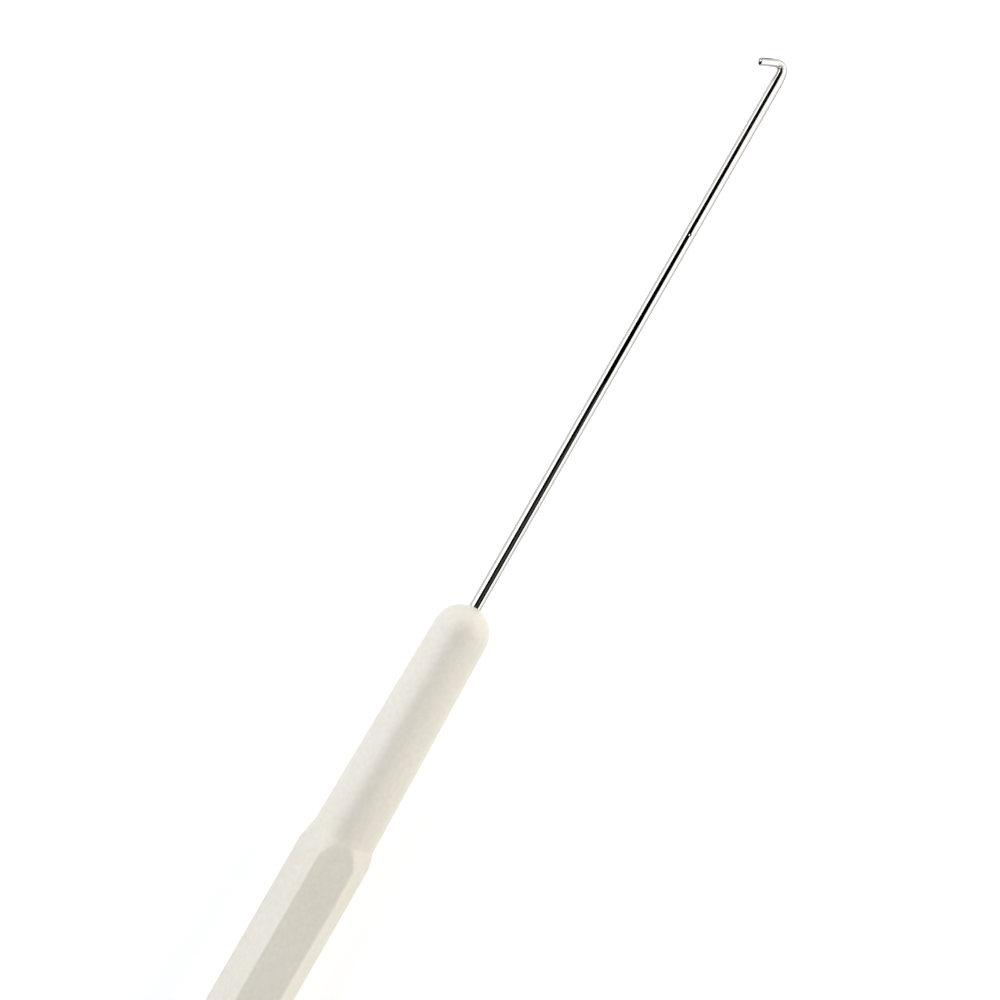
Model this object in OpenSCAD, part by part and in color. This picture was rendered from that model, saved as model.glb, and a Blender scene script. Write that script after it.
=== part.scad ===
// Hand tool: a wire hook with a hexagonal plastic grip.
// One steel wire, bent over at its end, is moulded into a solid handle.
// The wire is drawn as two solids that meet on a flat face: its straight shank and its hook.
// The tool lies along X on one flat of its grip, and the hook points towards +Y.

/* [Wire] */
// Diameter of the wire
wire_d = 1.5; // [1:0.1:2.4]
// From the nose of the handle to the crown of the hook
hook_reach = 77; // [40:1:140]
// Length of wire held inside the handle
wire_inside = 40; // [25:1:55]

/* [Hook] */
// Angle that the wire turns through at the bend, in degrees
hook_turn = 120; // [90:1:150]
// Radius of the inside of the bend
bend_inner_r = 0.15; // [0.1:0.05:2]
// Straight length from the bend to the point
leg_l = 2.4; // [1.5:0.1:8]
// Diameter of the point
point_d = 0.96; // [0.6:0.02:1.3]
// Radius of the rounded edge at the end of the point
point_edge_r = 0.28; // [0.1:0.02:0.3]
// Length of shank over which the wire starts to thin
thinning_l = 1.9; // [0.5:0.1:6]

/* [Wire anchor] */
// Thickness of the wire where it is pressed flat
anchor_t = 1; // [0.6:0.05:1.2]
// Length of the flattened stretch
anchor_l = 5; // [3:0.5:8]
// Length of each sloping end of the flattened stretch
anchor_ramp_l = 0.8; // [0.2:0.1:1.4]
// Round stretch of wire past the anchor
anchor_tail_l = 4; // [2:0.5:8]

/* [Handle] */
// Length of the handle
handle_l = 95; // [85:1:130]
// Distance across the flats of the grip
flats_d = 8.1; // [8.1:0.1:12]
// Radius of the long edges of the grip
grip_edge_r = 0.4; // [0.2:0.1:1]
// Diameter of the nose
nose_d = 7; // [5:0.1:7.6]
// Diameter of the neck where it meets the grip
neck_d = 8; // [7:0.05:8]
// From the nose to the end of the neck
neck_l = 31; // [20:1:45]
// Length of the sloping shoulder between the neck and the edges of the grip
shoulder_l = 2.4; // [1:0.1:6]
// Radius of the rounded back end
tail_r = 3; // [1:0.1:3.4]

/* [Rim at the nose] */
// Height of the moulded rim around the wire
rim_h = 0.1; // [0.05:0.05:0.8]
// Width of that rim on the nose
rim_w = 0.3; // [0.2:0.05:0.8]

/* [Fit] */
// Gap between the wire and the plastic around it
wire_gap = 0.01; // [0.005:0.005:0.05]

/* [Hidden] */

// Sides of the drawn wire at the hook, and its steps along the shank, the bend and the point
ring_sides = 24;
shank_steps = 4;
bend_steps = 12;
point_steps = 5;
// Part of a bore or cutter that runs past what it cuts
overrun = 1;
// How far the turned form stands clear of the corners of the grip, which the hexagon then cuts
blank_extra = 0.3;

wire_r = wire_d / 2;
point_r = point_d / 2;
nose_r = nose_d / 2;

// Places along the tool, with its middle at zero
total_l = handle_l + hook_reach;
tail_x = -total_l / 2;
nose_x = tail_x + handle_l;
crown_x = nose_x + hook_reach;
nose_centre_x = nose_x - nose_r;
neck_end_x = nose_x - neck_l;
wire_end_x = nose_x - wire_inside;
anchor_x = wire_end_x + anchor_tail_l;

// Half of the thinning is done where the bend starts, and the rest by its end
bend_start_r = (wire_r + point_r) / 2;
bend_r = bend_inner_r + bend_start_r;
bend_x = crown_x - bend_r - bend_thickness(90 / hook_turn);
thinning_x = bend_x - thinning_l;

// A flattened wire keeps its area of metal
anchor_w = PI * wire_r * wire_r / anchor_t;

// Half the distance across the rounded corners of the grip
corner_r = (flats_d / 2 - grip_edge_r) / cos(30) + grip_edge_r;
blank_r = corner_r + blank_extra;
// The shoulder reaches the corners after shoulder_l and goes on at the same slope to the blank
shoulder_slope = (corner_r - neck_d / 2) / shoulder_l;
blank_x = neck_end_x - (blank_r - neck_d / 2) / shoulder_slope;
back_face_r = blank_r - tail_r;

// Radius of the wire after a share of the thinning stretch, and after a share of the bend
function shank_thickness(share) = wire_r + (bend_start_r - wire_r) * pow(share, 2);

function bend_thickness(share) = point_r + (bend_start_r - point_r) * pow(1 - share, 2);

// A place on the hook: [x, y, direction in degrees, radius]
function shank_place(share) = [thinning_x + thinning_l * share, 0, 0, shank_thickness(share)];

function bend_place(share) =
    let (turn = hook_turn * share)
    [bend_x + bend_r * sin(turn), bend_r * (1 - cos(turn)), turn, bend_thickness(share)];

function leg_place(along, radius) =
    let (start = bend_place(1))
    [start.x + along * cos(hook_turn), start.y + along * sin(hook_turn), hook_turn, radius];

// The end of the leg is rounded by a quarter circle
function point_place(turn) = leg_place(
    leg_l - point_edge_r * (1 - sin(turn)),
    point_r - point_edge_r * (1 - cos(turn))
);

hook_places = [
    for (i = [0 : shank_steps]) shank_place(i / shank_steps),
    for (i = [1 : bend_steps]) bend_place(i / bend_steps),
    for (i = [0 : point_steps]) point_place(90 * i / point_steps)
];

// Ring of points square to the wire at a place
function ring(place) = [
    for (i = [0 : ring_sides - 1])
        let (
            turn = 360 * i / ring_sides,
            side = place[3] * cos(turn),
            up = place[3] * sin(turn)
        )
        [place.x - side * sin(place[2]), place.y + side * cos(place[2]), up]
];

// A closed tube through a list of places
module swept_wire(places) {
    rings = len(places);
    points = [for (place = places) each ring(place)];
    sides = [
        for (i = [0 : rings - 2], j = [0 : ring_sides - 1])
            let (
                a = i * ring_sides + j,
                b = i * ring_sides + (j + 1) % ring_sides
            )
            each [[a, b + ring_sides, b], [a, a + ring_sides, b + ring_sides]]
    ];
    start_cap = [for (j = [0 : ring_sides - 1]) j];
    end_cap = [for (j = [ring_sides - 1 : -1 : 0]) (rings - 1) * ring_sides + j];
    polyhedron(points, concat(sides, [start_cap], [end_cap]));
}

// Turns a shape that was made along Z so that it lies along X, with its Y upwards
module along_tool() {
    rotate([90, 0, 90]) children();
}

module round_bar(from_x, to_x, radius) {
    along_tool() translate([0, 0, from_x])
        cylinder(h = to_x - from_x, r = radius, $fn = 48);
}

// Flattened stretch of the wire, with sloping ends, standing upright in the handle
module flat_anchor(gap) {
    half_w = anchor_w / 2 + gap;
    half_neck = wire_r + gap;
    front_x = anchor_x + anchor_l + gap;
    back_x = anchor_x - gap;
    rotate([90, 0, 0]) linear_extrude(anchor_t + 2 * gap, center = true) polygon([
        [back_x, -half_neck],
        [back_x + anchor_ramp_l, -half_w],
        [front_x - anchor_ramp_l, -half_w],
        [front_x, -half_neck],
        [front_x, half_neck],
        [front_x - anchor_ramp_l, half_w],
        [back_x + anchor_ramp_l, half_w],
        [back_x, half_neck]
    ]);
}

// The wire as far as the hook. With a gap it is the space that it fills in the handle.
module straight_wire(to_x, gap = 0) {
    round_bar(wire_end_x - gap, anchor_x + anchor_ramp_l / 2, wire_r + gap);
    flat_anchor(gap);
    round_bar(anchor_x + anchor_l - anchor_ramp_l / 2, to_x, wire_r + gap);
}

module wire_shank() {
    color("silver") translate([0, 0, flats_d / 2]) straight_wire(thinning_x);
}

module wire_hook() {
    color("silver") translate([0, 0, flats_d / 2]) swept_wire(hook_places);
}

// Cross-section of the grip: a hexagon with its corners rounded
module grip_section() {
    inner_flat = flats_d / 2 - grip_edge_r;
    inner_corner = inner_flat / cos(30);
    circle(r = inner_corner, $fn = 6);
    for (i = [0 : 5]) rotate(60 * i) {
        translate([inner_corner, 0]) circle(r = grip_edge_r, $fn = 32);
        rotate(30) translate([0, -inner_corner / 2])
            square([flats_d / 2, inner_corner]);
    }
}

// Half outline of the turned form: radius across, place along the tool upwards
module turned_outline() {
    intersection() {
        union() {
            translate([0, nose_centre_x]) circle(r = nose_r, $fn = 64);
            polygon([
                [0, nose_centre_x],
                [nose_r, nose_centre_x],
                [neck_d / 2, neck_end_x],
                [blank_r, blank_x],
                [blank_r, tail_x + tail_r],
                [back_face_r, tail_x],
                [0, tail_x]
            ]);
            translate([back_face_r, tail_x + tail_r]) circle(r = tail_r, $fn = 64);
        }
        translate([0, tail_x - overrun]) square([blank_r + overrun, handle_l + 2 * overrun]);
    }
}

// Rim where the plastic climbs the wire a little
module nose_rim() {
    rim_x = nose_centre_x + sqrt(pow(nose_r, 2) - pow(wire_r + rim_w, 2));
    along_tool() translate([0, 0, rim_x])
        cylinder(h = nose_x + rim_h - rim_x, r1 = wire_r + rim_w, r2 = wire_r + rim_w / 4, $fn = 48);
}

module handle() {
    color("ivory") translate([0, 0, flats_d / 2]) difference() {
        union() {
            intersection() {
                along_tool() translate([0, 0, tail_x - overrun])
                    linear_extrude(handle_l + 2 * overrun) grip_section();
                along_tool() rotate_extrude($fn = 96) turned_outline();
            }
            nose_rim();
        }
        straight_wire(nose_x + rim_h + overrun, wire_gap);
    }
}

handle();
wire_shank();
wire_hook();
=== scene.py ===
# Wire hook with a hexagonal ivory grip, lying on a white table.
# Lengths are in metres, +X runs along the tool towards its hook, and +Z is up.
from math import cos, pi, radians, sin, tan
import bpy
import numpy as np
from mathutils import Matrix, Vector


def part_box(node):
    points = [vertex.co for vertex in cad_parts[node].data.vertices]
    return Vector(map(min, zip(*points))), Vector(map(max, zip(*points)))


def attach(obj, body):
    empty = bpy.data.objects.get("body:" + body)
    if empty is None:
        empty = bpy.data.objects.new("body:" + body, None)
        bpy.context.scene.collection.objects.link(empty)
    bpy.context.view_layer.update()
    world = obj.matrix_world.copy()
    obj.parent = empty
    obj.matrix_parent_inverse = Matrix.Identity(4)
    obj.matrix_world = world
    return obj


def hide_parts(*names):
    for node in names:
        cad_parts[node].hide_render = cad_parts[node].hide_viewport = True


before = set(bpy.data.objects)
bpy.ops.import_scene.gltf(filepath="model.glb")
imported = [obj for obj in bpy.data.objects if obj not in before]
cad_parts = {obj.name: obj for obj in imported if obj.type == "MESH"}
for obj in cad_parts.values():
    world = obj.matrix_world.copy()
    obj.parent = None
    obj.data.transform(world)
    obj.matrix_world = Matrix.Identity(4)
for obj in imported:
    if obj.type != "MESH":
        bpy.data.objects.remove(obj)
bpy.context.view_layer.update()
mm = 0.001

# Places and sizes taken from the parts in model.glb
handleLow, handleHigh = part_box("handle")
hookLow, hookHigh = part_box("wire_hook")
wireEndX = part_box("wire_shank")[0][0]
axisZ = (handleLow[2] + handleHigh[2]) / 2
tailX = handleLow[0]
flatRadius = (handleHigh[2] - handleLow[2]) / 2
wireRadius = -hookLow[1]
thinningX = hookLow[0]
crownX = hookHigh[0]


# Camera and light

camera = {
    "aim": (21.64 * mm, 3.92 * mm, 4.05 * mm),
    "distance": 167.7 * mm,
    "azimuth": 199.67,  # degrees, 0 looks along +Y
    "elevation": 78.84,
    "roll": 100.64,
    "lens": 50.4,
    "sensor": 36,
    "clip": (0.005, 20),
}


def placeObject(name, data, right, back, spot):
    # Adds an object at a spot, with its X to the right and its Z back from what it faces
    added = bpy.data.objects.new(name, data)
    bpy.context.scene.collection.objects.link(added)
    axes = Matrix((right, back.cross(right), back)).transposed().to_4x4()
    added.matrix_world = Matrix.Translation(spot) @ axes
    return added


def makeCamera(plan):
    # It looks at the aim from a turn and a lift, and the roll turns its right side upwards
    turn, lift = radians(plan["azimuth"]), radians(plan["elevation"])
    back = Vector((sin(turn) * cos(lift), -cos(turn) * cos(lift), sin(lift)))
    level = Vector((0, 0, 1)).cross(back).normalized()
    upright = back.cross(level)
    roll = radians(plan["roll"])
    right = level * cos(roll) + upright * sin(roll)
    data = bpy.data.cameras.new("camera")
    data.lens, data.sensor_width = plan["lens"], plan["sensor"]
    data.clip_start, data.clip_end = plan["clip"]
    spot = Vector(plan["aim"]) + back * plan["distance"]
    bpy.context.scene.camera = placeObject("camera", data, right, back, spot)


sky = {"strength": 0.205, "tint": (1, 0.955, 0.9, 1)}  # even light on everything
lamps = {  # turn is 0 towards the hook's end and 90 towards the side that the hook points to
    "leftLamp": {"turn": 80, "lift": 21, "distance": 0.7, "size": (1.2, 0.7), "power": 7.1,
                 "tint": (0.838, 0.886, 1.0)},
    "rightLamp": {"turn": -60, "lift": 23, "distance": 0.7, "size": (1.2, 0.4), "power": 5.15,
                  "tint": (0.933, 0.967, 1.0)},
    "endLamp": {"turn": -50, "lift": 34, "distance": 0.8, "size": (0.6, 0.5), "power": 0.9,
                "tint": (1.0, 0.97, 0.95)},
}


def makeLamp(name, plan):
    # A soft lamp at plan's turn round the tool and lift over the table, facing the origin
    turn, lift = radians(plan["turn"]), radians(plan["lift"])
    outward = Vector((cos(turn) * cos(lift), sin(turn) * cos(lift), sin(lift)))
    along = Vector((-sin(turn), cos(turn), 0))
    data = bpy.data.lights.new(name, "AREA")
    data.shape, data.energy, data.color = "RECTANGLE", plan["power"], plan["tint"]
    data.size, data.size_y = plan["size"]
    lamp = placeObject(name, data, along, outward, outward * plan["distance"])
    lamp.visible_glossy = False


# Shader graphs

class Signal:
    # A shader socket with Python's operators: each operation adds one Math node
    def __init__(self, graph, socket):
        self.graph, self.socket = graph, socket

    def joined(self, operation, first, second):
        return self.graph.add("ShaderNodeMath", {"operation": operation}, {0: first, 1: second})

    def __add__(self, other):
        return self.joined("ADD", self, other)

    def __sub__(self, other):
        return self.joined("SUBTRACT", self, other)

    def __rsub__(self, other):
        return self.joined("SUBTRACT", other, self)

    def __mul__(self, other):
        return self.joined("MULTIPLY", self, other)

    def atLeast(self, other):
        return self.joined("MAXIMUM", self, other)

    __radd__ = __add__
    __rmul__ = __mul__


class Graph:
    # The nodes of one material or of the world
    def __init__(self, owner):
        owner.use_nodes = True
        self.nodes, self.links = owner.node_tree.nodes, owner.node_tree.links
        self.nodes.clear()

    def add(self, kind, settings=None, sockets=None, output=0):
        # A new node with its settings and its sockets' values or links. Gives one of its outputs.
        node = self.nodes.new(kind)
        for name, value in (settings or {}).items():
            setattr(node, name, value)
        for name, value in (sockets or {}).items():
            if isinstance(value, Signal):
                self.links.new(value.socket, node.inputs[name])
            else:
                node.inputs[name].default_value = value
        return Signal(self, node.outputs[output])

    def blend(self, share, first, second):
        # Colour mix: share 0 gives the first colour, 1 the second. The sockets of a Mix node share
        # their names, so the colour ones go by number.
        return self.add("ShaderNodeMix", {"data_type": "RGBA"}, {0: share, 6: first, 7: second}, 2)

    def noise(self, place, scale, detail=2, roughness=0.5):
        sockets = {"Vector": place, "Scale": scale, "Detail": detail, "Roughness": roughness}
        return self.add("ShaderNodeTexNoise", {}, sockets)

    def stretchedNoise(self, place, scales, detail=2, roughness=0.5):
        # Noise with a scale of its own along each axis
        stretched = self.add("ShaderNodeMapping", {}, {"Vector": place, "Scale": scales})
        return self.noise(stretched, 1, detail, roughness)

    def bump(self, plan, height):
        return self.add("ShaderNodeBump", {}, {
            "Strength": plan["bumpStrength"], "Distance": plan["bumpDepth"], "Height": height})

    def attribute(self, name, output):
        return self.add("ShaderNodeAttribute", {"attribute_name": name}, output=output)

    def backdropRays(self):
        # 1 for rays that should find a white background, 0 for the rest
        path = self.nodes.new("ShaderNodeLightPath").outputs
        direct, reflected, passed = (Signal(self, path[name]) for name in
                                     ("Is Camera Ray", "Is Glossy Ray", "Is Transmission Ray"))
        return direct.atLeast(reflected).atLeast(passed)

    def finish(self, shader, kind="ShaderNodeOutputMaterial"):
        self.links.new(shader.socket, self.nodes.new(kind).inputs["Surface"])


def newMaterial(name):
    material = bpy.data.materials.new(name)
    return material, Graph(material)


def makeWorld(plan):
    # White for the rays that look for a background, and the sky's even light for the others
    world = bpy.data.worlds.new("paleRoom")
    bpy.context.scene.world = world
    graph = Graph(world)
    white = graph.backdropRays()
    strength = white + (1 - white) * plan["strength"]
    colour = graph.blend(white, plan["tint"], (1, 1, 1, 1))
    light = graph.add("ShaderNodeBackground", {}, {"Color": colour, "Strength": strength})
    graph.finish(light, "ShaderNodeOutputWorld")


# Meshes

def meshObject(name, points, faces):
    mesh = bpy.data.meshes.new(name)
    mesh.from_pydata(points.tolist(), [], faces)
    mesh.update()
    piece = bpy.data.objects.new(name, mesh)
    bpy.context.scene.collection.objects.link(piece)
    return piece


def closedSkin(name, rings):
    # rings is a grid of points: one row a ring, from the first pole to the last, each pole a whole
    # row at one point. Faces look outwards where rings turn from +Y to +Z and rows run to +X.
    rows, around = rings.shape[:2]
    points = np.concatenate([rings[0, :1], rings[1:-1].reshape(-1, 3), rings[-1, :1]])
    here = np.arange(around)
    after = (here + 1) % around
    first = 1 + np.arange(rows - 3)[:, None] * around
    second = first + around
    quads = np.stack([first + here, first + after, second + after, second + here], -1)
    lastRing = 1 + (rows - 3) * around
    lastPole = len(points) - 1
    startFan = np.stack([np.zeros(around, int), 1 + after, 1 + here], -1)
    endFan = np.stack([np.full(around, lastPole), lastRing + here, lastRing + after], -1)
    faces = quads.reshape(-1, 4).tolist() + startFan.tolist() + endFan.tolist()
    piece = meshObject(name, points, faces)
    piece.data.shade_smooth()
    return piece


def addMark(piece, name, rings):
    # Keeps a number or a place for each point of closedSkin's grid as an attribute of the mesh
    kind, key = ("FLOAT_VECTOR", "vector") if rings.ndim == 3 else ("FLOAT", "value")
    middle = rings[1:-1].reshape(-1, *rings.shape[2:])
    values = np.concatenate([rings[0, :1], middle, rings[-1, :1]])
    piece.data.attributes.new(name, kind, "POINT").data.foreach_set(key, values.ravel())


def steps(start, end, count):
    # Places from start up to but not at end
    return start + (end - start) * np.arange(count) / count


def hump(place, middle, width, power=2):
    # exp(-((place - middle) / width)^power): 1 in the middle and next to nothing two widths away
    return np.exp(-((place - middle) / width) ** power)


def rise(value, start, end):
    # 0 up to the start, 1 from the end, and a straight ramp between them
    return np.clip((value - start) / (end - start), 0, 1)


def softLess(first, second, reach):
    # The smaller of two lengths, rounded where they are within reach of each other: it loses
    # share^2 * reach / 4, and the share goes from 0 at the reach to 1 where they are equal
    near = np.maximum(reach - np.abs(first - second), 0) / reach
    return np.minimum(first, second) - near ** 2 * reach / 4


# Handle

handle = {
    "sides": 6,
    "edgeRadius": 0.4 * mm,
    "noseDiameter": 7.0 * mm,
    "neckDiameter": 8.0 * mm,
    "noseX": 9 * mm,
    "neckLength": 31 * mm,
    "shoulderLength": 2.4 * mm,
    "tailRadius": 3 * mm,
    "blankExtra": 0.3 * mm,  # how far the turned form stands clear of the grip's corners
    "edgeSoftness": 0.05 * mm,  # rounding where the shoulder meets the flats
    "shoulderSoftness": 0.06 * mm,
    "sink": 0.025 * mm,  # how far the flats have sunk in along their middles
    "waveShare": 0.4,  # of the sink, coming and going along the grip
    "waveLength": 13 * mm,
    "waveTwist": 3,  # radians by which the waves on the flats are out of step
    "partingDepth": 0.012 * mm,
    "partingWidth": 0.05 * mm,
    "partingFade": 1 * mm,  # over how much of the nose's radius it comes in, away from the wire
    "gateRadius": 1.1 * mm,  # round mark on the back face
    "gateDepth": 0.08 * mm,
    "gateEdge": 0.05 * mm,
    "rimWidth": 0.3 * mm,
    "rimHeight": 0.1 * mm,
    "wireGap": 0.01 * mm,
    "sideSteps": 32,
    "cornerCrowding": 0.8,
    "fineBehind": 4 * mm,  # the rings are closer from here behind the neck's end
    "fineBefore": 1.5 * mm,  # to here before it
    "rings": {"back": 24, "tail": 28, "grip": 60, "shoulder": 70, "neck": 40, "dome": 50,
              "rim": 10, "bore": 12, "anchor": 30, "boreEnd": 6},
}

anchor = {  # the wire is pressed flat here, inside the handle
    "start": wireEndX + 4 * mm,
    "length": 5 * mm,
    "ramp": 0.8 * mm,
    "halfThickness": 0.5 * mm,
    "halfWidth": 0.87 * mm,
    "squareness": 6,
}
anchorEnd = anchor["start"] + anchor["length"]
ellipse = 2  # squareness of a plain ellipse, and of round wire


def ringAngles(plan):
    # Angles round the grip from +Y, crowded towards its corners: share + crowding * sin(pi * share)
    # / pi, with the share from -1 to 1 over each side
    share = np.arange(plan["sideSteps"]) / plan["sideSteps"] * 2 - 1
    side = (share + plan["cornerCrowding"] * np.sin(pi * share) / pi + 1) / 2
    sector = 2 * pi / plan["sides"]
    return np.concatenate([(number + side) * sector for number in range(plan["sides"])])


def gripRadius(plan, place, angle):
    # Distance from the axis to a hexagon with rounded corners: flat / cos(turn from the flat's
    # middle), and near a corner the far side of the rounding circle. The flats are a little
    # hollow, by sink * cos^2 across them, and wavy, by a sine along them.
    sector = 2 * pi / plan["sides"]
    turn = np.abs((angle % sector) - sector / 2)
    inner = flatRadius - plan["edgeRadius"]
    cornerHalf = inner * tan(sector / 2)
    onCircle = inner * np.cos(turn) + cornerHalf * np.sin(turn)
    aside = inner * np.sin(turn) - cornerHalf * np.cos(turn)
    rounding = onCircle + np.sqrt(np.maximum(plan["edgeRadius"] ** 2 - aside ** 2, 0))
    step = plan["waveTwist"] * np.sin(2 * angle)
    wave = 1 + plan["waveShare"] * np.sin(2 * pi * place / plan["waveLength"] + step)
    sunk = plan["sink"] * wave * np.cos(turn / (sector / 2) * pi / 2) ** 2
    flat = (flatRadius - sunk) / np.cos(turn)
    return np.where(flatRadius * np.tan(turn) < cornerHalf, flat, rounding)


def anchorShape(place):
    # Half width across, half height and squareness of the wire's section before the hook: round
    # outside the anchor, and going evenly over its two ramps to the anchor's own values
    share = rise(np.minimum(place - anchor["start"], anchorEnd - place), 0, anchor["ramp"])
    across = wireRadius + (anchor["halfThickness"] - wireRadius) * share
    height = wireRadius + (anchor["halfWidth"] - wireRadius) * share
    return across, height, ellipse + (anchor["squareness"] - ellipse) * share


def sectionRadius(across, height, squareness, angle):
    # Distance to a superellipse: (|cos / across|^n + |sin / height|^n)^(-1/n)
    side = np.abs(np.cos(angle) / across) ** squareness
    top = np.abs(np.sin(angle) / height) ** squareness
    return (side + top) ** (-1 / squareness)


def turnedProfile(plan):
    # Places and radii of the turned form from the middle of its back face to the bore's mouth
    count = plan["rings"]
    cornerRadius = (flatRadius - plan["edgeRadius"]) / cos(pi / plan["sides"]) + plan["edgeRadius"]
    blank = cornerRadius + plan["blankExtra"]
    noseRadius, neckRadius = plan["noseDiameter"] / 2, plan["neckDiameter"] / 2
    noseCentre = plan["noseX"] - noseRadius
    neckEnd = plan["noseX"] - plan["neckLength"]
    slope = (cornerRadius - neckRadius) / plan["shoulderLength"]
    backFace = blank - plan["tailRadius"]

    # The gate mark is sunk by depth / (1 + exp((radius - its own radius) / edge))
    across = steps(0, backFace, count["back"])
    gate = plan["gateDepth"] / (1 + np.exp((across - plan["gateRadius"]) / plan["gateEdge"]))
    turn = steps(0, pi / 2, count["tail"])

    # The neck is a straight cone, and the shoulder adds a ramp with a soft start:
    # (past + sqrt(past^2 + softness^2)) / 2
    fineStart, fineEnd = neckEnd - plan["fineBehind"], neckEnd + plan["fineBefore"]
    grip = steps(tailX + plan["tailRadius"], fineStart, count["grip"])
    neck = np.concatenate([steps(fineStart, fineEnd, count["shoulder"]),
                           steps(fineEnd, noseCentre, count["neck"])])
    cone = noseRadius + (neckRadius - noseRadius) * (noseCentre - neck) / (noseCentre - neckEnd)
    past = (neckEnd - neck) * slope
    ramp = (past + np.sqrt(past ** 2 + plan["shoulderSoftness"] ** 2)) / 2
    shoulder = np.minimum(cone + ramp, blank)

    # The dome runs up to the rim, which climbs the wire as the cube of its share of the rim's width
    rimRadius = wireRadius + plan["rimWidth"]
    dome = steps(0, np.arccos(rimRadius / noseRadius), count["dome"])
    share = np.linspace(0, 1, count["rim"])
    rim = rimRadius + (wireRadius + plan["wireGap"] - rimRadius) * share
    rimX = noseCentre + np.sqrt(noseRadius ** 2 - rim ** 2) + plan["rimHeight"] * share ** 3

    places = [tailX + gate, tailX + plan["tailRadius"] * (1 - np.cos(turn)), grip, neck,
              noseCentre + noseRadius * np.sin(dome), rimX]
    radii = [across, backFace + plan["tailRadius"] * np.sin(turn), np.full(len(grip), blank),
             shoulder, noseRadius * np.cos(dome), rim]
    return np.concatenate(places), np.concatenate(radii)


def makeHandle(plan):
    # Outside: the turned form cut by the hexagon, with soft edges between them.
    # Inside: the wire's own section, a gap wider, back to the blind end of the bore.
    count = plan["rings"]
    angle = ringAngles(plan)[None, :]
    place, turned = (values[:, None] for values in turnedProfile(plan))
    radius = softLess(turned, gripRadius(plan, place, angle), plan["edgeSoftness"])
    fade = rise(radius, 2 * wireRadius, 2 * wireRadius + plan["partingFade"])
    parting = plan["partingDepth"] * hump(radius * np.sin(angle), 0, plan["partingWidth"])
    radius = radius - fade * parting

    gap = plan["wireGap"]
    boreEnd = wireEndX - gap
    bore = np.concatenate([steps(place[-1, 0], anchorEnd, count["bore"])[1:],
                           steps(anchorEnd, anchor["start"], count["anchor"]),
                           np.linspace(anchor["start"], boreEnd, count["boreEnd"])])[:, None]
    boreRadius = sectionRadius(*anchorShape(bore), angle) + gap

    place = np.concatenate([place, bore, [[boreEnd]]])
    radius = np.concatenate([radius, boreRadius, np.zeros((1, angle.size))])
    rings = np.stack([np.broadcast_to(place, radius.shape),
                      radius * np.cos(angle), axisZ + radius * np.sin(angle)], -1)
    return closedSkin("ivory_handle", rings)


# Wire

wire = {
    "around": 96,
    "rings": {"endEdge": 5, "end": 6, "anchor": 40, "shank": 90, "nick": 60, "beforeHook": 24,
              "thinning": 24, "bend": 60, "leg": 30, "point": 14},
    "endEdge": 0.12 * mm,  # rounding of the end that is inside the handle
    "bendTurn": radians(118.3),
    "bendInner": 0.15 * mm,
    "legLength": 2.4 * mm,
    "pointRadius": 0.48 * mm,
    "pointEdge": 0.28 * mm,
    "legLift": 0.055 * mm,  # how far the bend opens out by its end
    # A span is the middle and the width of a hump, where the bend goes from 0 to 1
    "bendBulge": 0.2 * mm,  # metal pressed out on the inside of the bend
    "bulgeSpan": (0.35, 0.45),
    "bendStretch": 0.05 * mm,  # metal lost on its outside
    "stretchSpan": (0.1, 0.35),
    "legSwell": 0.05 * mm,  # how much fuller the outside of the leg is
    "swellSpan": (1.6, 0.55),
    "bendPressed": 1.5,  # how much squarer the inside of the bend is
    "pressedSpan": (0.6, 0.6),
    "workedSpan": (0.62, 0.55),  # roughened inside of the bend
    "workedRise": (-0.3, 0.2),  # cosine of the angle from the inside over which it comes in
    "tipMark": (0.01 * mm, 0.27 * mm),  # painted shade on the cut face: from the leg's end, and towards its inside
    "tipSize": 0.2 * mm,
    "tipShade": 1.4,  # over 1 gives it a wider black middle
    "tipFade": 0.1 * mm,  # how far it reaches below the wire's middle
    "foldStart": (0.15, radians(55)),  # painted shade in the crease beside the bend, along a line: share of the bend, and angle up from its inside
    "foldEnd": (0.85, radians(8)),
    "foldSize": 0.12 * mm,
    "foldShade": 1.0,
    "edgeAngle": radians(149),  # painted shade: a dark line along the outside of the leg, near its point
    "edgeWidth": radians(23),
    "edgeShade": 1.0,
    "edgeRise": (1.3, 1.9),  # where it comes in along the leg, in the measure of the spans
    "crownShade": 0.3,  # of that line, round the outside of the bend
    "crownSpan": (0.15, 0.4),
    "nickX": 61.17 * mm,
    "nickAngle": radians(85),
    "nickDepth": 0.08 * mm,
    "nickSize": 0.11 * mm,
    "nickSpan": 1.2 * mm,  # the rings are closer this far to both sides of it
}


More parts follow.
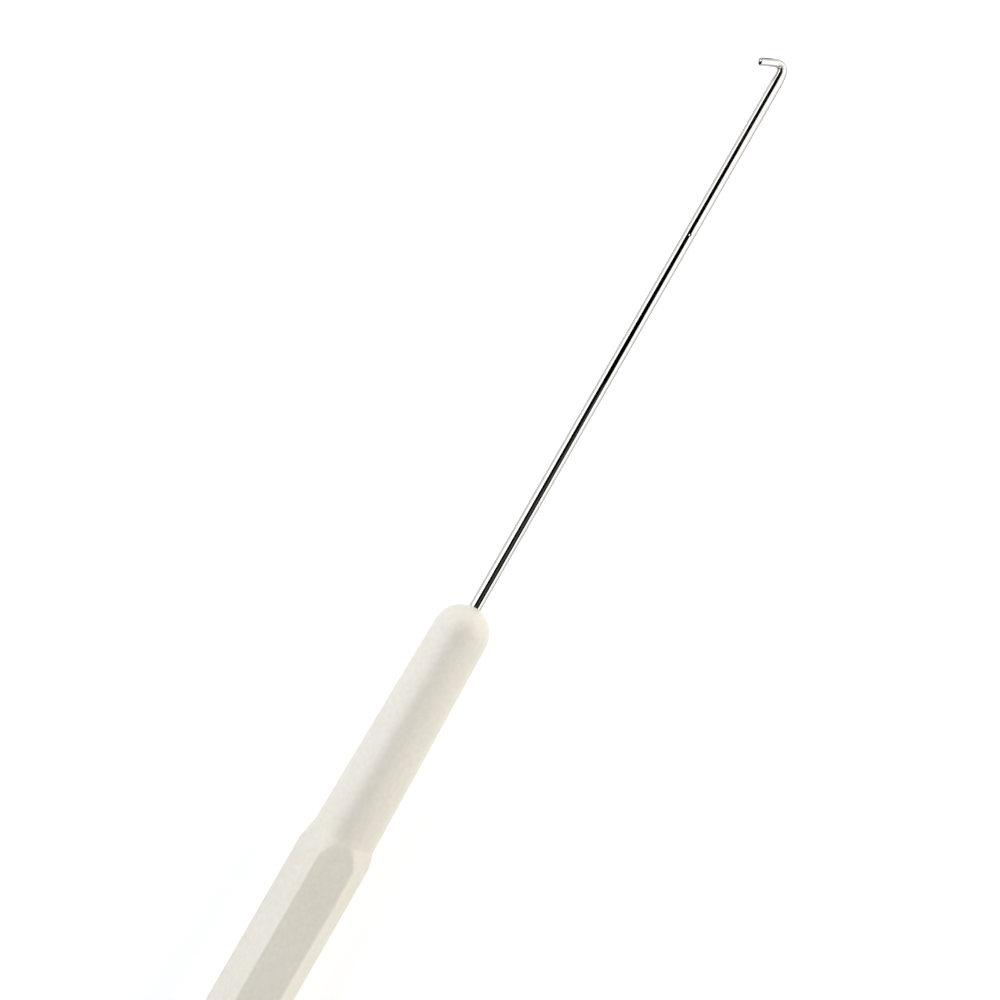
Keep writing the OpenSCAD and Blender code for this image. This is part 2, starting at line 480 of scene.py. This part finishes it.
def wirePath(plan):
    # Stations along the wire: centre x and y, heading, half width in the hook's plane, half
    # height, squareness, distance along, and share of the bend
    count = plan["rings"]
    startRadius = (wireRadius + plan["pointRadius"]) / 2
    bendRadius = plan["bendInner"] + startRadius
    full = plan["bendTurn"]
    turn = steps(0, 1, count["bend"])
    heading = full * turn
    bendAcross = plan["pointRadius"] + (startRadius - plan["pointRadius"]) * (1 - turn) ** 2
    opened = bendRadius + turn ** 3 * plan["legLift"]
    bendX = crownX - np.max((opened + bendAcross) * np.sin(heading))

    edge = plan["endEdge"]
    corner = steps(0, pi / 2, count["endEdge"])
    startX = wireEndX + edge * (1 - np.cos(corner))
    startSize = wireRadius - edge * (1 - np.sin(corner))
    nickStart, nickEnd = plan["nickX"] - plan["nickSpan"], plan["nickX"] + plan["nickSpan"]
    shankX = np.concatenate([
        steps(wireEndX + edge, anchor["start"], count["end"]),
        steps(anchor["start"], anchorEnd, count["anchor"]),
        steps(anchorEnd, nickStart, count["shank"]),
        steps(nickStart, nickEnd, count["nick"]),
        steps(nickEnd, thinningX, count["beforeHook"])])
    across, height, squareness = anchorShape(shankX)

    share = steps(0, 1, count["thinning"])
    thinX = thinningX + (bendX - thinningX) * share
    thin = wireRadius + (startRadius - wireRadius) * share ** 2

    # The leg is straight, and a quarter circle rounds its end
    legRadius = bendRadius + plan["legLift"]
    legX, legY = bendX + legRadius * sin(full), bendRadius - legRadius * cos(full)
    pointTurn = np.linspace(0, pi / 2, count["point"])
    pointRadius, pointEdge = plan["pointRadius"], plan["pointEdge"]
    straightEnd = plan["legLength"] - pointEdge
    along = np.concatenate([steps(0, straightEnd, count["leg"]),
                            straightEnd + pointEdge * np.sin(pointTurn), [plan["legLength"]]])
    legSize = np.concatenate([np.full(count["leg"], pointRadius),
                              pointRadius - pointEdge * (1 - np.cos(pointTurn)), [0]])

    shankStart = 1 + len(startX)
    shankEnd = shankStart + len(shankX)
    bendStart = shankEnd + len(thinX)
    x = np.concatenate([[wireEndX], startX, shankX, thinX, bendX + opened * np.sin(heading),
                        legX + along * cos(full)])
    y = np.concatenate([np.zeros(bendStart), bendRadius - opened * np.cos(heading),
                        legY + along * sin(full)])
    turned = np.concatenate([np.zeros(bendStart), heading, np.full(len(along), full)])
    wide = np.concatenate([[0], startSize, across, thin, bendAcross, legSize])
    tall = np.concatenate([[0], startSize, height, thin, bendAcross, legSize])
    square = np.full(len(x), float(ellipse))
    square[shankStart:shankEnd] = squareness
    run = np.concatenate([[0], np.cumsum(np.hypot(np.diff(x), np.diff(y)))])
    # 0 where the bend starts, 1 where it ends, and in the same measure before and after it
    bent = (run - run[bendStart]) / (run[bendStart + len(turn)] - run[bendStart])
    return x, y, turned, wide, tall, square, run, bent


def makeWire(plan):
    # A ring square to the path at every station: side along the hook's plane, top along +Z.
    # The bend's bulge and loss go as the square of how far a point faces its inside or outside.
    x, y, heading, wide, tall, square, run, bent = (values[:, None] for values in wirePath(plan))
    angle = 2 * pi * np.arange(plan["around"])[None, :] / plan["around"]
    facing = np.cos(angle)
    pressed = plan["bendPressed"] * hump(bent, *plan["pressedSpan"], 4)
    smallest = 1e-9  # stands in for the poles' zero width, which can't be divided by
    radius = sectionRadius(np.maximum(wide, smallest), np.maximum(tall, smallest),
                           square + pressed * (facing > 0), angle)
    aside = (angle - plan["nickAngle"]) * wireRadius
    nick = hump(np.hypot(x - plan["nickX"], aside), 0, plan["nickSize"])
    radius = np.where(wide > 0, radius - plan["nickDepth"] * nick, 0)
    bulge = plan["bendBulge"] * hump(bent, *plan["bulgeSpan"])
    lost = (plan["bendStretch"] * hump(bent, *plan["stretchSpan"])
            - plan["legSwell"] * hump(bent, *plan["swellSpan"], 4))
    side = (radius * facing + bulge * np.maximum(facing, 0) ** 2
            + lost * np.minimum(facing, 0) ** 2)
    top = radius * np.sin(angle)
    rings = np.stack([x - side * np.sin(heading), y + side * np.cos(heading), axisZ + top], -1)
    piece = closedSkin("hook_wire", rings)

    # The same wire pulled straight, for lines that follow it round the bend
    addMark(piece, "drawn", np.stack([np.broadcast_to(run, side.shape), side, top], -1))

    # The inside of the bend is roughened
    worked = hump(bent, *plan["workedSpan"], 4) * rise(facing, *plan["workedRise"])
    addMark(piece, "worked", worked)

    # Painted shade: on the cut face round a point at the tip, in the crease round a line beside the
    # bend, and along the outline round one angle, which comes in along the leg and is faint round
    # the bend
    back, inward = plan["tipMark"]
    cutFaceShade = hump(np.hypot(run[-1] - back - run, side - inward), 0, plan["tipSize"], 4)
    cutFaceShade = np.minimum(plan["tipShade"] * cutFaceShade, 1) * rise(top, -plan["tipFade"], 0)
    foldStart, foldEnd = (
        rings[np.argmin(np.abs(bent - share)), int(turn / 2 / pi * plan["around"])]
        for share, turn in (plan["foldStart"], plan["foldEnd"]))
    line = foldEnd - foldStart
    share = np.clip((rings - foldStart) @ line / (line @ line), 0, 1)[..., None]
    away = np.linalg.norm(rings - foldStart - share * line, axis=-1)
    creaseShade = plan["foldShade"] * hump(away, 0, plan["foldSize"])
    # The painted shade line along the outline of the leg, faint round the bend
    leg = rise(bent, *plan["edgeRise"])
    crown = plan["crownShade"] * hump(bent, *plan["crownSpan"])
    edge = plan["edgeShade"] * hump(angle, plan["edgeAngle"], plan["edgeWidth"])
    edge = edge * np.maximum(leg, crown)
    addMark(piece, "paintedShade", np.maximum(np.maximum(cutFaceShade, creaseShade), edge))
    return piece


# Finishes: noise scales are per metre

ivory = {
    "pale": (0.825, 0.78, 0.671, 1),
    "warm": (0.735, 0.681, 0.56, 1),
    "clouds": 90,
    "cloudShare": 0.6,  # of the clouds in the colour, and the streaks take the rest
    "streaks": (25, 260, 260),  # along the handle
    "flecks": 1700,
    "fleckContrast": 1.25,
    "grain": 2600,  # satin texture
    "fineGrain": 8060,
    "grainShare": 0.7,
    "bumpStrength": 0.35,
    "bumpDepth": 0.05 * mm,
    "roughness": 0.45,
    "cloudRoughness": 0.12,
    "grainRoughness": 0.1,
    "density": 1.5,  # index of refraction
    "scatter": 0.2,
    "scatterDepth": 0.7 * mm,
    "scatterTint": (1, 0.85, 0.6),
}


def ivoryPlastic(plan):
    material, graph = newMaterial("ivory_plastic")
    place = graph.add("ShaderNodeTexCoord", output="Object")
    clouds = graph.noise(place, plan["clouds"], 3)
    streaks = graph.stretchedNoise(place, plan["streaks"], 4)
    flecks = (graph.noise(place, plan["flecks"], 3, 0.6) - 0.5) * plan["fleckContrast"]
    mottling = clouds * plan["cloudShare"] + streaks * (1 - plan["cloudShare"]) + flecks
    grain = graph.noise(place, plan["grain"], 3, 0.6)
    fine = graph.noise(place, plan["fineGrain"], 1)
    height = grain * plan["grainShare"] + fine * (1 - plan["grainShare"])
    rough = (plan["roughness"] + (clouds - 0.5) * plan["cloudRoughness"]
             + (grain - 0.5) * plan["grainRoughness"])
    graph.finish(graph.add("ShaderNodeBsdfPrincipled", {}, {
        "Base Color": graph.blend(mottling, plan["pale"], plan["warm"]),
        "Roughness": rough, "Normal": graph.bump(plan, height), "IOR": plan["density"],
        "Subsurface Weight": plan["scatter"], "Subsurface Scale": plan["scatterDepth"],
        "Subsurface Radius": plan["scatterTint"]}))
    return material


steel = {
    "bright": (0.60, 0.59, 0.57, 1),
    "dull": (0.53, 0.52, 0.50, 1),
    # painted shade: the near black that the painted shade marks mix in
    "paintedShade": (0.006, 0.006, 0.006, 1),
    "edge": (0.35, 0.35, 0.35, 1),  # share of its light that the metal keeps at a grazing angle
    "fineLines": (220, 9000, 9000),  # drawn along the wire
    "broadLines": (60, 1500, 1500),
    "specks": 5200,
    "bumpStrength": 0.25,
    "bumpDepth": 0.004 * mm,
    "fineHeight": 0.8,
    "broadHeight": 0.5,
    "roughness": 0.075,
    "bendRoughness": 0.25,
    "lineRoughness": 0.08,
    "speckRoughness": 0.05,
}


def brightSteel(plan):
    material, graph = newMaterial("bright_steel")
    drawn = graph.attribute("drawn", "Vector")
    lines = graph.stretchedNoise(drawn, plan["fineLines"], 3, 0.6)
    broad = graph.stretchedNoise(drawn, plan["broadLines"], 2)
    specks = graph.noise(drawn, plan["specks"], 2)
    worked = graph.attribute("worked", "Fac")
    rough = (plan["roughness"] + (lines - 0.5) * plan["lineRoughness"]
             + (specks - 0.5) * plan["speckRoughness"]
             + worked * (plan["bendRoughness"] - plan["roughness"]))
    height = lines * plan["fineHeight"] + broad * plan["broadHeight"]
    skin = graph.add("ShaderNodeBsdfPrincipled", {}, {
        "Base Color": graph.blend(broad, plan["bright"], plan["dull"]), "Metallic": 1.0,
        "Roughness": rough, "Normal": graph.bump(plan, height), "Specular Tint": plan["edge"]})
    # Painted shade: the marks mix the steel into plain black
    black = graph.add("ShaderNodeBsdfDiffuse", {}, {"Color": plan["paintedShade"]})
    paintedShadeMask = graph.attribute("paintedShade", "Fac")
    graph.finish(graph.add("ShaderNodeMixShader", {}, {0: paintedShadeMask, 1: skin, 2: black}))
    return material


# Table and boards

table = {
    "radius": 0.4,
    "sides": 96,
    "shade": 0.85,
    "glow": 0.47,  # lifts the table to white for the rays that see it
    "fadeStart": 0.13,  # from here it turns into the white round it
    "fadeEnd": 0.28,
}


def makeTable(plan):
    # A lit white disc, mixed into plain white away from the tool for the rays that see it
    turn = 2 * pi * np.arange(plan["sides"]) / plan["sides"]
    rim = np.stack([np.cos(turn), np.sin(turn), 0 * turn], -1) * plan["radius"]
    top = meshObject("table", rim, [list(range(plan["sides"]))])
    material, graph = newMaterial("table_white")
    paint = graph.add("ShaderNodeBsdfDiffuse", {}, {"Color": (*[plan["shade"]] * 3, 1)})
    seen = graph.backdropRays()
    glow = graph.add("ShaderNodeEmission", {}, {"Strength": seen * plan["glow"]})
    near = graph.add("ShaderNodeAddShader", {}, {0: paint, 1: glow})
    place = graph.add("ShaderNodeTexCoord", output="Object")
    away = graph.add("ShaderNodeVectorMath", {"operation": "LENGTH"}, {0: place}, "Value")
    fade = graph.add("ShaderNodeMapRange", {"interpolation_type": "SMOOTHSTEP"}, {
        "Value": away, "From Min": plan["fadeStart"], "From Max": plan["fadeEnd"]})
    white = graph.add("ShaderNodeEmission", {}, {"Strength": 1.0})
    graph.finish(graph.add("ShaderNodeMixShader", {}, {0: fade * seen, 1: near, 2: white}))
    top.data.materials.append(material)


# Boards that only reflections see, with corners in mm. The near and far ones hang over the tool
# and draw the black line down the bright wire, and the small grey one lightens it near the nose.
# The white ones on both sides are the wire's bright flanks. The one over the grip keeps it dull.
boards = {
    "farBoard": {"shade": 0.0, "height": 114, "corners": [
        (106, -14), (119, -2), (128, 7), (170, 22), (260, 30), (330, 200), (330, 420), (212, 271),
        (149, 212), (119, 110)]},
    "nearBoard": {"shade": 0.0, "height": 16, "corners": [
        (7, -11.7), (22, -10.9), (29.5, -9), (42.2, -6.1), (49.6, -4.8), (64.4, -2.4),
        (76.1, -0.7), (81.5, 23.8), (67.8, 20.2), (59.6, 18.7), (43.5, 17.2), (36.7, 15.7),
        (22, 12.7), (7, 12.1)]},
    "greyBoard": {"shade": 0.09, "height": 15.5, "corners": [
        (7, -2.4), (20.6, -3.3), (30.2, -4.1), (41.9, -4.9), (41.9, 0.4), (30.2, 1.5),
        (20.6, 2.2), (7, 2.2)]},
    "gripBoard": {"shade": 0.0, "height": 400, "corners": [
        (-500, -60), (0, -60), (0, 250), (-500, 250)]},
    "leftBoard": {"shade": 2.4, "corners": [
        (-700, 380, 20), (900, 380, 20), (900, 330, 420), (-700, 330, 420)]},
    "rightBoard": {"shade": 1.8, "corners": [
        (-700, -430, 70), (900, -430, 70), (900, -20, 520), (-700, -20, 520)]},
}


def makeBoard(name, plan):
    # A flat sheet of plain light: level ones give their height once for all corners
    height = [plan["height"]] if "height" in plan else []
    corners = np.array([[*corner, *height] for corner in plan["corners"]]) * mm
    board = meshObject(name, corners, [list(range(len(corners)))])
    material, graph = newMaterial(name)
    graph.finish(graph.add("ShaderNodeEmission", {}, {"Strength": plan["shade"]}))
    board.data.materials.append(material)
    board.visible_camera = board.visible_diffuse = board.visible_shadow = False
    board.visible_transmission = False


# The scene

bpy.context.scene.view_settings.view_transform = "Standard"
makeCamera(camera)
makeWorld(sky)
for name, plan in lamps.items():
    makeLamp(name, plan)
makeTable(table)
for name, plan in boards.items():
    makeBoard(name, plan)
print("camera, light, table and boards are set")

grip = makeHandle(handle)
grip.data.materials.append(ivoryPlastic(ivory))
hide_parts("handle")
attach(grip, "root")
print("handle:", len(grip.data.polygons), "faces")

rod = makeWire(wire)
rod.data.materials.append(brightSteel(steel))
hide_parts("wire_shank", "wire_hook")
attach(rod, "root")
print("wire:", len(rod.data.polygons), "faces")
